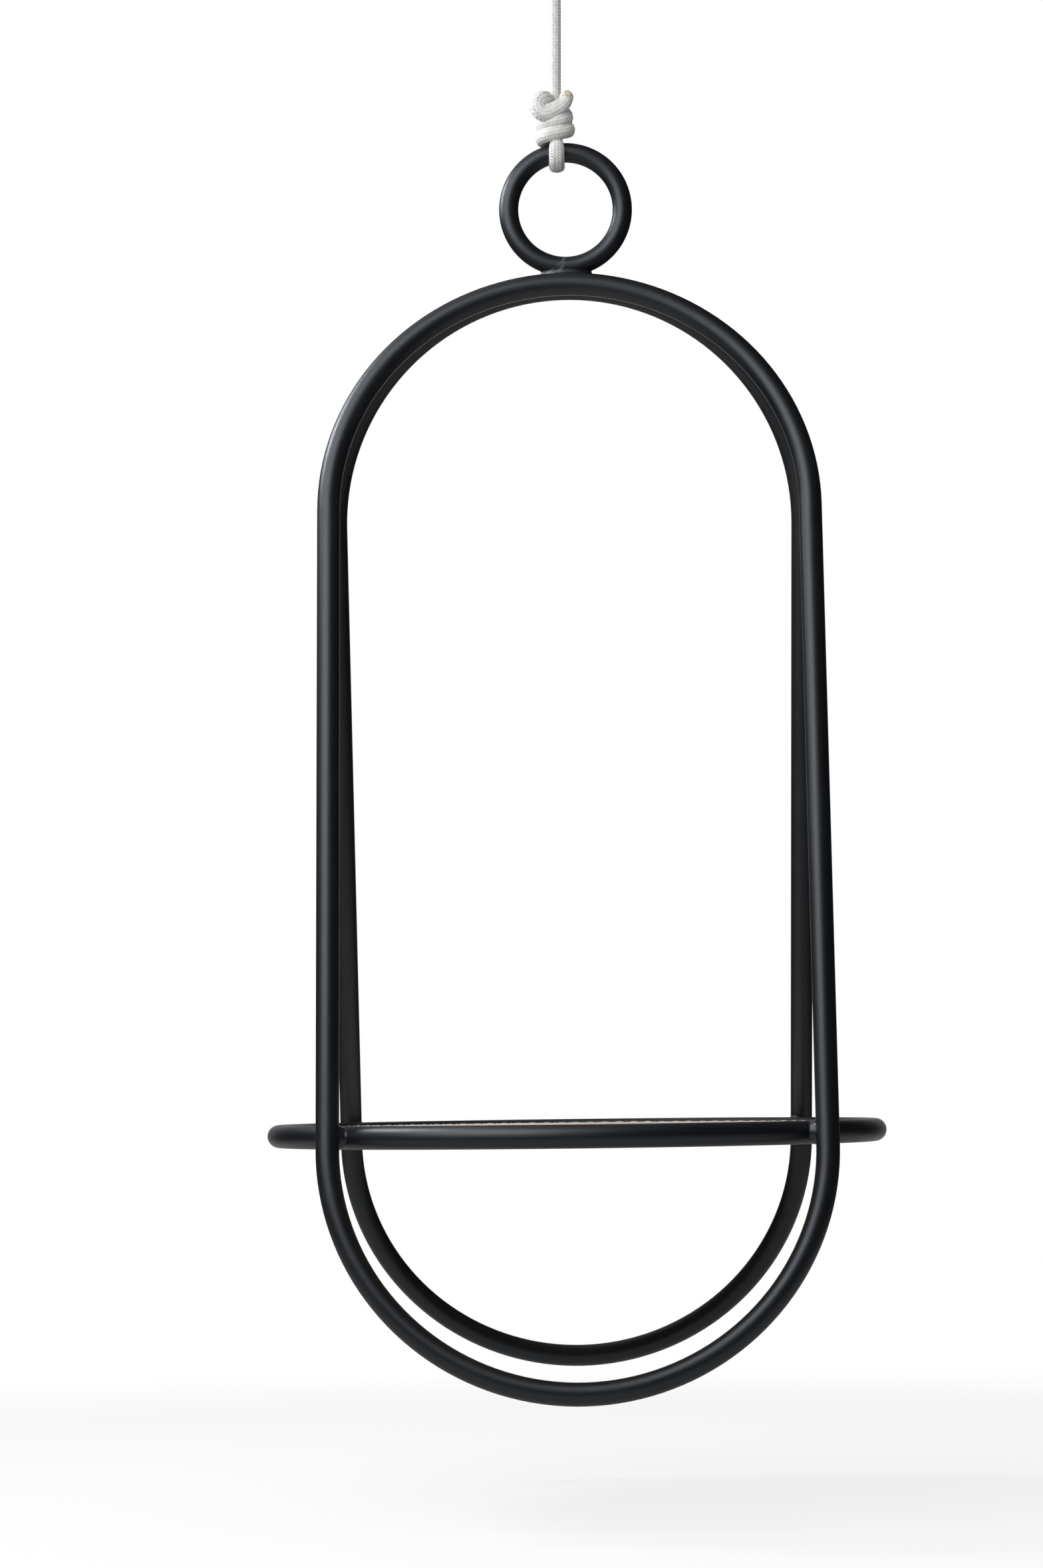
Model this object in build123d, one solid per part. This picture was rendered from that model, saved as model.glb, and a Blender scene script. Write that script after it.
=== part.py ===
from build123d import *
import os
from math import asin, atan, atan2, cos, degrees, hypot, pi, radians, sin, sqrt, tan

# Hanging swing seat: two splayed tube loops meet under a hanging ring and carry a round seat.
# One knotted cord hangs it from a swivel on the ceiling.
# Millimetres, +Z up, -Y is the front. The origin is the middle of the ceiling plate's top face.

# Tube frame
tube_d = 28.0              # steel tube of the loops and the seat ring
tube_wall = 2.0
loop_width = 588.0         # between the leg centre lines of one loop
leg_length = 800.0         # straight tube between the two bends of a loop
splay_angle = 13.6         # lean of each loop from upright, degrees
leg_below_seat = 13.3      # straight leg left under the middle of the seat ring, upright
root_gap = 0.6             # opening under each weld

# Hanging ring
hanger_radius = 70.5       # to the middle of the bar
hanger_bar_d = 24.0
hanger_wall = 2.5
hanger_gap = 2.5           # weld metal between the bar and the two arches
noose_offset = 10.0        # the noose sits this far to the left of the ring's middle

# Weld beads
hanger_bead_length = 64.0
hanger_bead_flat = 26.0    # full-width middle of the bead
hanger_bead_radius = 13.5
hanger_bead_tip = 5.0      # radius at the ends
hanger_bead_lift = 15.0    # middle of the bead above the arch centre lines
joint_bead_radius = 15.0

# Seat
tab_width = 36.0
tab_length = 34.0
tab_thickness = 4.0
tab_drop = 6.0             # top of the tabs below the ring's middle
tab_hole_d = 6.6
tab_hole_inset = 13.0      # hole from the inner end of the tab
tab_count = 4
board_thickness = 7.0
board_gap = 2.0
board_round = 2.0
pad_margin = 7.0           # pad edge inside the board edge
pad_edge = 6.5
pad_crown = 4.0
pad_tuck = 2.5             # the sides draw in by this, above and below
welt_d = 5.0
soft_gap = 0.3
screw_d = 6.0
screw_bite = 4.5           # screw length inside the board
screw_head_d = 11.0
screw_head_height = 3.0
screw_socket_d = 4.6
screw_socket_depth = 1.6
screw_gap = 0.1

# Cord and its two nooses
cord_d = 15.0
bar_span = 300.0           # from the eye's bar down to the hanging ring's bar
noose_gap = 0.8            # cord to bar
noose_bend = 60.0          # how far round the bar the loop runs past level, degrees
wrap_half_width = 17.5     # middle of the wraps from the middle of the cord, sideways
wrap_half_depth = 16.2     # the same, front to back
wrap_pitch = 17.0
wrap_skew = 0.25           # each wrap climbs to the right by this
wrap_count = 3
tail_point = (17.0, -9.0, 9.5)     # tail end from the last front crossing's middle line
tail_way = (0.55, 0.35, 0.76)
noose_top_margin = 21.0    # noose node ends this far above the last front crossing

# Ceiling swivel
plate_d = 110.0
plate_thickness = 6.0
plate_round = 2.0
bolt_circle_d = 84.0
bolt_hole_d = 9.0
bolt_count = 4
housing_d = 46.0
housing_height = 32.0
housing_floor = 10.0
housing_bore_d = 36.0
housing_weld = 4.0
bush_d = 20.0
bush_flange_d = 32.0
bush_flange = 3.0
stem_d = 14.0
running_gap = 0.05
washer_d = 28.0
washer_thickness = 2.5
nut_width = 22.0           # across flats
nut_height = 10.0
stem_proud = 2.0           # stem end above the nut
collar_d = 26.0
collar_height = 5.0
collar_gap = 0.3
eye_radius = 32.0          # to the middle of the bar
eye_bar_d = 20.0
eye_sink = 2.0             # eye bar runs up into the collar

# Worked-out places
tube_r = tube_d / 2
bend_radius = loop_width / 2
splay = radians(splay_angle)
apex_half = (tube_d + root_gap) / 2
hanger_bar_r = hanger_bar_d / 2
cord_r = cord_d / 2
eye_bar_r = eye_bar_d / 2

housing_bottom = -plate_thickness - housing_height
collar_top = housing_bottom - collar_gap
collar_bottom = collar_top - collar_height
eye_middle_z = collar_bottom + eye_sink - eye_radius - eye_bar_r
eye_bar_z = eye_middle_z - eye_radius
noose_bar_z = eye_bar_z - bar_span
noose_turn = asin(noose_offset / hanger_radius)
hanger_z = noose_bar_z - hanger_radius * cos(noose_turn)
hanger_seat = sqrt((tube_r + hanger_bar_r + hanger_gap) ** 2 - apex_half ** 2)
apex_z = hanger_z - hanger_radius - hanger_seat
seat_drop = (bend_radius + leg_length) * cos(splay) - leg_below_seat
seat_z = apex_z - seat_drop
frame_x = noose_offset

# The legs stand outside the seat ring, one weld gap clear of it along their common normal.
leg_y = apex_half + seat_drop * tan(splay)
leg_radius = hypot(bend_radius, leg_y)
leg_lean = atan(tan(splay) * leg_y / leg_radius)
ring_radius = leg_radius - (tube_d + root_gap) / cos(leg_lean)

tab_top = seat_z - tab_drop
board_top = tab_top + board_thickness
board_radius = ring_radius - tube_r - board_gap
pad_radius = board_radius - pad_margin
tab_hole_radius = ring_radius - tab_length + tab_hole_inset


def annulus(outer, wall):
    return Circle(outer) - Circle(outer - wall)


def bent_tube(radius, outer, wall, angle):
    """Tube bent about Z, from +X counterclockwise."""
    return revolve(Plane.XZ * Pos(radius, 0) * annulus(outer, wall), Axis.Z, angle)


def loop_plane(side):
    """Plane of one loop, its origin at the apex, its y axis up along the loop."""
    return Plane(
        origin=(frame_x, side * apex_half, apex_z),
        x_dir=(1, 0, 0),
        z_dir=(0, -cos(splay), -side * sin(splay)),
    )


def loop_tubes(side, name):
    """The four tubes of one loop: two half rings and two straight legs, butted end to end."""
    plane = loop_plane(side)
    half_ring = bent_tube(bend_radius, tube_r, tube_wall, 180)
    leg = Rot(90, 0, 0) * extrude(annulus(tube_r, tube_wall), leg_length)
    return {
        name + "_top_arch": plane * Pos(0, -bend_radius, 0) * half_ring,
        name + "_left_leg": plane * Pos(-bend_radius, -bend_radius, 0) * leg,
        name + "_right_leg": plane * Pos(bend_radius, -bend_radius, 0) * leg,
        name + "_bottom_arch": plane * Pos(0, -bend_radius - leg_length, 0) * Rot(0, 0, 180) * half_ring,
    }


def seat_ring_place():
    return Pos(frame_x, 0, seat_z)


def hanger_place():
    return Pos(frame_x, 0, hanger_z) * Rot(90, 0, 0)


def seat_ring():
    return seat_ring_place() * bent_tube(ring_radius, tube_r, tube_wall, 360)


def hanging_ring():
    return hanger_place() * bent_tube(hanger_radius, hanger_bar_r, hanger_wall, 360)


def long_bead():
    """Bead along X, full in the middle and tapered to both ends."""
    half, flat = hanger_bead_length / 2, hanger_bead_flat / 2
    profile = Polyline(
        (-half, 0), (-half, hanger_bead_tip), (-flat, hanger_bead_radius),
        (flat, hanger_bead_radius), (half, hanger_bead_tip), (half, 0), close=True,
    )
    return revolve(make_face(profile), Axis.X)


def hanger_weld():
    """Saddle of weld metal between the hanging ring and the two arches."""
    bead = Pos(frame_x, 0, apex_z + hanger_bead_lift) * long_bead()
    bead -= hanger_place() * Torus(hanger_radius, hanger_bar_r)
    for side in (-1, 1):
        bead -= loop_plane(side) * Pos(0, -bend_radius, 0) * Torus(bend_radius, tube_r)
    return bead


def ring_welds():
    """One bead at each crossing of a leg and the seat ring."""
    beads = []
    ring = seat_ring_place() * Torus(ring_radius, tube_r)
    for side in (-1, 1):
        leg_way = Vector(0, side * sin(splay), -cos(splay))
        for hand in (-1, 1):
            out = Vector(hand * bend_radius, side * leg_y, 0).normalized()
            along = Vector(-out.Y, out.X, 0)
            normal = leg_way.cross(along).normalized()
            normal = normal * (1 if normal.dot(out) > 0 else -1)
            ring_point = Vector(frame_x, 0, seat_z) + out * ring_radius
            bead = Pos(*(ring_point + normal * (tube_r + root_gap / 2))) * Sphere(joint_bead_radius)
            leg = loop_plane(side) * Pos(hand * bend_radius, -bend_radius, 0)
            leg *= Rot(90, 0, 0) * Cylinder(tube_r, 2 * leg_length)
            beads.append(bead - ring - leg)
    return Compound(beads)


def around_seat(shape):
    """Copies of a shape at the seat's tabs, with +X outwards."""
    turn = 360 / tab_count
    return [Pos(frame_x, 0, 0) * Rot(0, 0, turn * i) * shape for i in range(tab_count)]


def seat_tabs():
    """Flat tabs welded inside the seat ring, to carry the board."""
    middle = ring_radius - tab_length / 2
    tab = Pos(middle, 0, tab_top - tab_thickness / 2) * Box(tab_length, tab_width, tab_thickness)
    corners = tab.edges().filter_by(Axis.Z).sort_by(Axis.X)[:2]
    tab = fillet(corners, tab_width / 4)
    tab -= Pos(0, 0, seat_z) * Torus(ring_radius, tube_r)
    tab = tab.solids().sort_by(Axis.X)[0]
    tab -= Pos(tab_hole_radius, 0, tab_top) * Cylinder(tab_hole_d / 2, 2 * board_thickness)
    return Compound(around_seat(tab))


def seat_board():
    board = Pos(frame_x, 0, tab_top + board_thickness / 2) * Cylinder(board_radius, board_thickness)
    board = fillet(board.edges().filter_by(GeomType.CIRCLE), board_round)
    hole = Pos(tab_hole_radius, 0, tab_top) * Cylinder(
        screw_d / 2 + screw_gap, screw_bite + screw_gap, align=(Align.CENTER, Align.CENTER, Align.MIN)
    )
    for copy in around_seat(hole):
        board -= copy
    return board


def seat_screws():
    """Socket button screws that hold the board from below."""
    under = (Align.CENTER, Align.CENTER, Align.MAX)
    above = (Align.CENTER, Align.CENTER, Align.MIN)
    seat = tab_top - tab_thickness
    head = Pos(tab_hole_radius, 0, seat) * Cylinder(screw_head_d / 2, screw_head_height, align=under)
    head = fillet(head.edges().sort_by(Axis.Z)[0], screw_head_height / 2)
    socket = Plane.XY * RegularPolygon(screw_socket_d / 2, 6)
    head -= Pos(tab_hole_radius, 0, seat - screw_head_height) * extrude(socket, screw_socket_depth)
    shank = Pos(tab_hole_radius, 0, seat) * Cylinder(screw_d / 2, tab_thickness + screw_bite, align=above)
    return Compound(around_seat(head + shank))


def seat_pad():
    """Thin upholstered pad: a low crown, and sides drawn in above and below."""
    rim = pad_radius - pad_tuck
    dome = (rim ** 2 + pad_crown ** 2) / (2 * pad_crown)
    half_way = pad_edge + pad_crown - dome + sqrt(dome ** 2 - (rim / 2) ** 2)
    outline = [
        Line((0, 0), (rim, 0)),
        ThreePointArc((rim, 0), (pad_radius, pad_edge / 2), (rim, pad_edge)),
        ThreePointArc((rim, pad_edge), (rim / 2, half_way), (0, pad_edge + pad_crown)),
        Line((0, pad_edge + pad_crown), (0, 0)),
    ]
    return Pos(frame_x, 0, board_top) * revolve(Plane.XZ * make_face(outline), Axis.Z)


def seat_welt():
    """Corded edge round the top of the pad."""
    radius = pad_radius + welt_d / 2 + soft_gap
    return Pos(frame_x, 0, board_top + pad_edge - welt_d / 2) * Torus(radius, welt_d / 2)


def arc_to_corner(start, corner, end):
    """Arc from start to end, whose end tangents meet at the corner."""
    middle = (start + end) * 0.5
    half_chord = (end - start).length / 2
    rise = (corner - middle).length
    sag = half_chord * tan(atan2(rise, half_chord) / 2)
    return ThreePointArc(start, middle + (corner - middle).normalized() * sag, end)


def biarc(start, start_way, end, end_way):
    """Two arcs that leave start and reach end along the given unit ways."""
    chord = end - start
    spread = 1 - start_way.dot(end_way)
    across = chord.dot(start_way + end_way)
    reach = (sqrt(across ** 2 + 2 * spread * chord.dot(chord)) - across) / (2 * spread)
    first = start + start_way * reach
    last = end - end_way * reach
    joint = (first + last) * 0.5
    return [arc_to_corner(start, first, joint), arc_to_corner(joint, last, end)]


def wrap_point(quarter, first_z):
    """Place and way on the wraps, counted in quarter turns from the back; 2 is the first front crossing."""
    angle = radians(90 * (quarter + 1))
    x = wrap_half_width * cos(angle)
    y = wrap_half_depth * sin(angle)
    place = Vector(x, y, first_z + wrap_pitch * (quarter - 2) / 4 + wrap_skew * x)
    side_rate = -wrap_half_width * sin(angle)
    way = Vector(side_rate, wrap_half_depth * cos(angle), wrap_pitch / (2 * pi) + wrap_skew * side_rate)
    return place, way.normalized()


def noose_sizes(bar_r):
    """Loop radius, height of the first front crossing and top of a noose on a bar of this radius."""
    loop = bar_r + cord_r + noose_gap
    first_z = loop / tan(radians(noose_bend) / 2)
    return loop, first_z, first_z + wrap_pitch * (wrap_count - 1) + noose_top_margin


def noose_route(bar_r):
    """Edges of the noose: down the cord, round the bar from the front, and up in wraps to the tail."""
    loop, first_z, top = noose_sizes(bar_r)
    bend = radians(noose_bend)

    def on_loop(angle):
        return Vector(0, -loop * cos(angle), loop * sin(angle))

    last_quarter = 4 * wrap_count - 2
    edges = [Line((0, 0, top), (0, 0, first_z))]
    edges.append(arc_to_corner(Vector(0, 0, first_z), Vector(0, 0, loop / sin(bend)), on_loop(bend)))
    turn = (pi + bend) / 2
    for part in (0, 1):
        begin = bend - turn * part
        edges.append(ThreePointArc(on_loop(begin), on_loop(begin - turn / 2), on_loop(begin - turn)))
    place, way = on_loop(-pi), Vector(0, 0, 1)
    for quarter in range(1, last_quarter + 1):
        next_place, next_way = wrap_point(quarter, first_z)
        edges += biarc(place, way, next_place, next_way)
        place, way = next_place, next_way
    tail_end = Vector(0, 0, place.Z) + Vector(*tail_point)
    return edges + biarc(place, way, tail_end, Vector(*tail_way).normalized())


def report_tube(name, edges, solid):
    """Print a cord's length, tightest bend, least gap to itself and volume against section times length."""
    step = cord_r / 4
    points, along, done = [], [], 0.0
    for edge in edges:
        count = max(2, round(edge.length / step))
        points += [edge.position_at(i / count) for i in range(count)]
        along += [done + edge.length * i / count for i in range(count)]
        done += edge.length
    far = pi * cord_r
    gap = min(
        (a - b).length
        for i, a in enumerate(points)
        for b, s in zip(points[:i], along[:i])
        if along[i] - s > far
    )
    bends = [edge.radius for edge in edges if edge.geom_type == GeomType.CIRCLE]
    share = solid.volume / (pi * cord_r ** 2 * done)
    print(name, "length", round(done, 1), "least bend", round(min(bends), 1),
          "least gap", round(gap - cord_d, 2), "volume share", round(share, 4))


def noose(name, bar_r):
    edges = noose_route(bar_r)
    start = Plane(origin=edges[0].position_at(0), z_dir=edges[0].tangent_at(0))
    solid = sweep(start * Circle(cord_r), path=Wire(edges))
    report_tube(name, edges, solid)
    return solid


def cord_parts():
    """Noose on the eye, straight cord and noose on the hanging ring."""
    upper_top = noose_sizes(eye_bar_r)[2]
    lower_top = noose_sizes(hanger_bar_r)[2]
    run = bar_span - upper_top - lower_top
    return {
        "upper_noose": Pos(0, 0, eye_bar_z) * Rot(180, 0, 0) * noose("upper_noose", eye_bar_r),
        "hanging_cord": Pos(0, 0, noose_bar_z + lower_top + run / 2) * Cylinder(cord_r, run),
        "lower_noose": Pos(0, 0, noose_bar_z) * noose("lower_noose", hanger_bar_r),
    }


def stack(top, radius, height):
    """Cylinder that hangs down from a height."""
    return Pos(0, 0, top) * Cylinder(radius, height, align=(Align.CENTER, Align.CENTER, Align.MAX))


def ceiling_plate():
    plate = stack(0, plate_d / 2, plate_thickness)
    plate = fillet(plate.edges().filter_by(GeomType.CIRCLE).sort_by(Axis.Z)[0], plate_round)
    holes = PolarLocations(bolt_circle_d / 2, bolt_count, start_angle=180 / bolt_count)
    for place in holes:
        plate -= place * Cylinder(bolt_hole_d / 2, 2 * plate_thickness + plate_round)
    return plate


def swivel_housing():
    """Turned cup welded under the plate, with a bored floor for the bush."""
    cup = stack(-plate_thickness, housing_d / 2, housing_height)
    cup -= stack(-plate_thickness, housing_bore_d / 2, housing_height - housing_floor)
    return cup - stack(-plate_thickness, bush_d / 2, housing_height)


def housing_bead():
    """Fillet weld round the cup, under the plate."""
    inner, top = housing_d / 2, -plate_thickness
    face = make_face(Polyline((inner, top), (inner + housing_weld, top), (inner, top - housing_weld), close=True))
    return revolve(Plane.XZ * face, Axis.Z)


def swivel_bush():
    floor_top = housing_bottom + housing_floor
    bush = stack(floor_top, bush_d / 2, housing_floor)
    bush += stack(floor_top + bush_flange, bush_flange_d / 2, bush_flange)
    return bush - stack(0, stem_d / 2 + running_gap, -housing_bottom)


def nut_seat():
    return housing_bottom + housing_floor + bush_flange + washer_thickness


def thrust_washer():
    washer = stack(nut_seat(), washer_d / 2, washer_thickness)
    return washer - stack(nut_seat(), stem_d / 2, washer_thickness)


def lock_nut():
    hexagon = RegularPolygon(nut_width / 2, 6, major_radius=False)
    nut = Pos(0, 0, nut_seat()) * extrude(hexagon, nut_height)
    return nut - stack(nut_seat() + nut_height, stem_d / 2, nut_height)


def swivel_eye():
    """Stem, collar and closed eye, forged in one piece."""
    stem_top = nut_seat() + nut_height + stem_proud
    eye = stack(stem_top, stem_d / 2, stem_top - collar_bottom)
    eye += stack(collar_top, collar_d / 2, collar_height)
    return eye + Pos(0, 0, eye_middle_z) * Rot(90, 0, 0) * Torus(eye_radius, eye_bar_r)


def build():
    nodes = {
        "ceiling_plate": ceiling_plate(),
        "swivel_housing": swivel_housing(),
        "housing_weld": housing_bead(),
        "swivel_bush": swivel_bush(),
        "thrust_washer": thrust_washer(),
        "lock_nut": lock_nut(),
        "swivel_eye": swivel_eye(),
        "hanging_ring": hanging_ring(),
        "hanger_weld": hanger_weld(),
        "seat_ring": seat_ring(),
        "ring_welds": ring_welds(),
        "seat_tabs": seat_tabs(),
        "seat_board": seat_board(),
        "seat_screws": seat_screws(),
        "seat_pad": seat_pad(),
        "seat_welt": seat_welt(),
    }
    nodes.update(loop_tubes(-1, "front"))
    nodes.update(loop_tubes(1, "rear"))
    nodes.update(cord_parts())
    return nodes


os.makedirs("parts", exist_ok=True)
for node, shape in build().items():
    export_step(shape, "parts/" + node + ".step")
print("seat ring radius", round(ring_radius, 2), "seat plane", round(seat_z, 1), "noose bar", round(noose_bar_z, 1))
print("ring turn in the noose", round(degrees(noose_turn), 2), "loop apex", round(apex_z, 1))
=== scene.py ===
# %% [markdown]
# # A hanging swing seat, dressed over its CAD frame
# The seat hangs from one knotted cord.
# Two loops of black tube lean apart and carry a round ring with a leather pad.
# The tubes, the swivel and the board come from the CAD model as they are, and get their finishes here.
# What CAD draws only roughly is made here: the braided cord, the weld beads, the pad and its sewn edge.

# %% Frame
import math
import bmesh
import bpy
from mathutils import Matrix, Vector, noise


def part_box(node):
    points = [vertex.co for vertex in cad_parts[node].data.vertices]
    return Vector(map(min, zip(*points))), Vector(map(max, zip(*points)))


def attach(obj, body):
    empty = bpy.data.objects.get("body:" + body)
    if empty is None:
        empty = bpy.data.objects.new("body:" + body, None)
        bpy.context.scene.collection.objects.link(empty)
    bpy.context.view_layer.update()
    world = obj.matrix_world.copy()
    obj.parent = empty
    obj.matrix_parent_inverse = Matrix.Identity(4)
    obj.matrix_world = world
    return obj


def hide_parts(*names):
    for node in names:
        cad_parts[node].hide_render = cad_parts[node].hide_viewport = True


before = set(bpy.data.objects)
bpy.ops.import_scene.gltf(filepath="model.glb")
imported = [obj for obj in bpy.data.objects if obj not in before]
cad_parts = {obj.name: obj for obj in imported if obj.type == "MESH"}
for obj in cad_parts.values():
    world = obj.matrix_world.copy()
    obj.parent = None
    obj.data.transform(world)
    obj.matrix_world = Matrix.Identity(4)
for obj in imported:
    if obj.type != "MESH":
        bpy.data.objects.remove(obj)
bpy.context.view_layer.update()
scene = bpy.context.scene

# %% [markdown]
# ## Camera
# The picture was taken from about five metres away, level with the seat.
# The lens was shifted up to take in the top.
# Turning the camera up instead would make the legs converge, so the shift stays.
# The small roll stands for the frame, which hangs a little out of plumb.

# %% Camera
yaw, roll = math.radians(-0.618), math.radians(-0.7)
ahead = Vector((math.sin(yaw), math.cos(yaw), 0))
level = Vector((math.cos(yaw), -math.sin(yaw), 0))
upright = Vector((0, 0, 1))
across = level * math.cos(roll) + upright * math.sin(roll)
above = upright * math.cos(roll) - level * math.sin(roll)

lens = bpy.data.cameras.new("seat_lens")
lens.sensor_width = 36
lens.lens = 93.4
lens.shift_y = 0.1918
camera = bpy.data.objects.new("seat_camera", lens)
turn = Matrix((across, above, -ahead)).transposed()
camera.matrix_world = Matrix.LocRotScale(Vector((-0.0034, -5.048, -1.570)), turn, None)
scene.collection.objects.link(camera)
scene.camera = camera
scene.view_settings.view_transform = "Standard"
print("camera at", tuple(round(v, 3) for v in camera.location))

# %% [markdown]
# ## Writing node trees as sums
# A node tree by hand is a long list of nodes and links, and its maths is hard to read back.
# One small class wraps a socket, so that Python's own signs add the Math nodes.
# Its node method makes every other node, for shaders and for Geometry Nodes alike.

# %% A socket that can be added and multiplied


class Wire:
    """One socket of a node tree."""

    def __init__(self, tree, socket=None):
        self.tree = tree
        self.socket = socket

    def node(self, kind, settings=None, inputs=None, out=0):
        made = self.tree.nodes.new(kind)
        for key, value in (settings or {}).items():
            setattr(made, key, value)
        for key, value in (inputs or {}).items():
            if isinstance(value, Wire):
                self.tree.links.new(value.socket, made.inputs[key])
            else:
                made.inputs[key].default_value = value
        return Wire(self.tree, made.outputs[out] if made.outputs else None)

    def math(self, operation, *values):
        return self.node("ShaderNodeMath", {"operation": operation}, dict(enumerate(values)))

    def vector(self, operation, *values):
        out = 1 if operation == "LENGTH" else 0
        return self.node("ShaderNodeVectorMath", {"operation": operation}, dict(enumerate(values)), out)

    def __add__(self, other):
        return self.math("ADD", self, other)

    def __radd__(self, other):
        return self.math("ADD", other, self)

    def __sub__(self, other):
        return self.math("SUBTRACT", self, other)

    def __rsub__(self, other):
        return self.math("SUBTRACT", other, self)

    def __mul__(self, other):
        return self.math("MULTIPLY", self, other)

    def __rmul__(self, other):
        return self.math("MULTIPLY", other, self)

    def __truediv__(self, other):
        return self.math("DIVIDE", self, other)

    def between(self, low, high):
        """0 below low, 1 above high, smooth in between."""
        return self.node("ShaderNodeMapRange", {"interpolation_type": "SMOOTHSTEP"},
                         {"Value": self, "From Min": low, "From Max": high})

    def mix(self, first, second):
        """first where this is 0, second where it is 1; both are colours."""
        return self.node("ShaderNodeMix", {"data_type": "RGBA"}, {0: self, 6: first, 7: second}, 2)


def grey(value):
    return (value, value, value, 1.0)


print("node helper ready")

# %% [markdown]
# ## Backdrop, floor and light
# The picture has a white sweep behind the seat.
# A large soft box stands near the front left, a small one high on the left, and a faint glow lies overhead.
# The white comes from the world seen by the camera and by glossy rays, so the light on the seat stays plain.
# In the black tube's gloss the room in front is dim, which gives the tube its dark side.
# Matt surfaces get an even fill, so the cord keeps its colour on the side away from the boxes.

# %% World
dim_room, sweep_glow, ceiling_glow, fill = 0.02, 0.90, 0.40, 0.32
world = bpy.data.worlds.new("white_sweep")
world.use_nodes = True
world.node_tree.nodes.clear()
sky = Wire(world.node_tree)
way = sky.node("ShaderNodeTexCoord", out="Generated")
sideways = sky.node("ShaderNodeSeparateXYZ", inputs={0: way}, out="X")
depth = sky.node("ShaderNodeSeparateXYZ", inputs={0: way}, out="Y")
height = sky.node("ShaderNodeSeparateXYZ", inputs={0: way}, out="Z")
ceiling = height.between(0.30, 0.90) * (1 - sideways.between(-0.25, 0.35))
seen = sky.node("ShaderNodeLightPath", out="Is Camera Ray")
mirrored = sky.node("ShaderNodeLightPath", out="Is Glossy Ray")
through = sky.node("ShaderNodeLightPath", out="Is Transmission Ray")
sweep = dim_room + depth.between(0.86, 1.0) * sweep_glow + ceiling * ceiling_glow
room = mirrored * sweep + (1 - mirrored) * fill
strength = seen.math("MAXIMUM", seen, through).math("MAXIMUM", seen, room)
back = sky.node("ShaderNodeBackground", inputs={"Color": grey(1.0), "Strength": strength})
sky.node("ShaderNodeOutputWorld", inputs={"Surface": back})
scene.world = world
print("world:", len(world.node_tree.nodes), "nodes")

# %% Soft boxes


def soft_box(name, place, target, size, power):
    lamp = bpy.data.lights.new(name, "AREA")
    lamp.shape = "RECTANGLE"
    lamp.size, lamp.size_y = size
    lamp.energy = power
    lamp.color = (0.94, 0.968, 1.0)
    box = bpy.data.objects.new(name, lamp)
    box.location = place
    box.rotation_euler = (Vector(target) - Vector(place)).to_track_quat("-Z", "Y").to_euler()
    box.visible_camera = False
    scene.collection.objects.link(box)


soft_box("left_front_box", (-1.05, -1.45, 0.05), (0, 0, -1.0), (1.9, 2.1), 39)
soft_box("left_top_box", (-1.62, 0.30, 0.30), (0, 0, -0.95), (0.5, 0.5), 26)
print("soft boxes: 2")

# %% Floor
floor_z, floor_r = -2.095, 2.6
seen_glow, mirror_glow = 0.80, 0.26
floor_mesh = bpy.data.meshes.new("floor")
shape = bmesh.new()
bmesh.ops.create_circle(shape, cap_ends=True, segments=96, radius=floor_r)
bmesh.ops.translate(shape, verts=shape.verts, vec=(0, 0, floor_z))
shape.to_mesh(floor_mesh)
shape.free()
floor = bpy.data.objects.new("floor", floor_mesh)
scene.collection.objects.link(floor)

pale = bpy.data.materials.new("pale_floor")
pale.use_nodes = True
pale.node_tree.nodes.clear()
paint = Wire(pale.node_tree)
spot = paint.node("ShaderNodeTexCoord", out="Object")
reach = paint.vector("LENGTH", paint.vector("MULTIPLY", spot, (1.0, 1.0, 0.0)))
matt = paint.node("ShaderNodeBsdfDiffuse", inputs={"Color": grey(0.20)})
seen = paint.node("ShaderNodeLightPath", out="Is Camera Ray")
mirrored = paint.node("ShaderNodeLightPath", out="Is Glossy Ray")
glow = paint.node("ShaderNodeEmission", inputs={
    "Color": grey(1.0), "Strength": seen * seen_glow + mirrored * mirror_glow})
lit = paint.node("ShaderNodeAddShader", inputs={0: matt, 1: glow})
clear = paint.node("ShaderNodeBsdfTransparent")
faded = paint.node("ShaderNodeMixShader", inputs={0: reach.between(1.5, 2.5), 1: lit, 2: clear})
paint.node("ShaderNodeOutputMaterial", inputs={"Surface": faded})
floor.data.materials.append(pale)
print("floor at", floor_z)

# %% [markdown]
# ## Small tools
# A finished piece is a plain mesh at the origin.
# It rides a body of the CAD model.
# A Geometry Nodes tree is run once, with its named inputs set first, and its result is kept as a mesh.

# %% Placing pieces and running trees


def place(name, mesh, body, slot, *stands_for):
    """Put a finished mesh on a body, in place of some CAD nodes."""
    piece = bpy.data.objects.new(name, mesh)
    scene.collection.objects.link(piece)
    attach(piece, body)
    if stands_for:
        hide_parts(*stands_for)
    print(name, "-", len(mesh.polygons), "faces on", body)
    return piece


def new_tree(name, **inputs):
    """Geometry Nodes tree with a Geometry input and named inputs; gives the tree and its wires."""
    tree = bpy.data.node_groups.new(name, "GeometryNodeTree")
    tree.interface.new_socket("Geometry", in_out="INPUT", socket_type="NodeSocketGeometry")
    tree.interface.new_socket("Geometry", in_out="OUTPUT", socket_type="NodeSocketGeometry")
    for label, kind in inputs.items():
        tree.interface.new_socket(label, in_out="INPUT", socket_type="NodeSocket" + kind)
    group = tree.nodes.new("NodeGroupInput")
    wires = {label: Wire(tree, group.outputs[label]) for label in ("Geometry", *inputs)}
    return tree, wires


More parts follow.
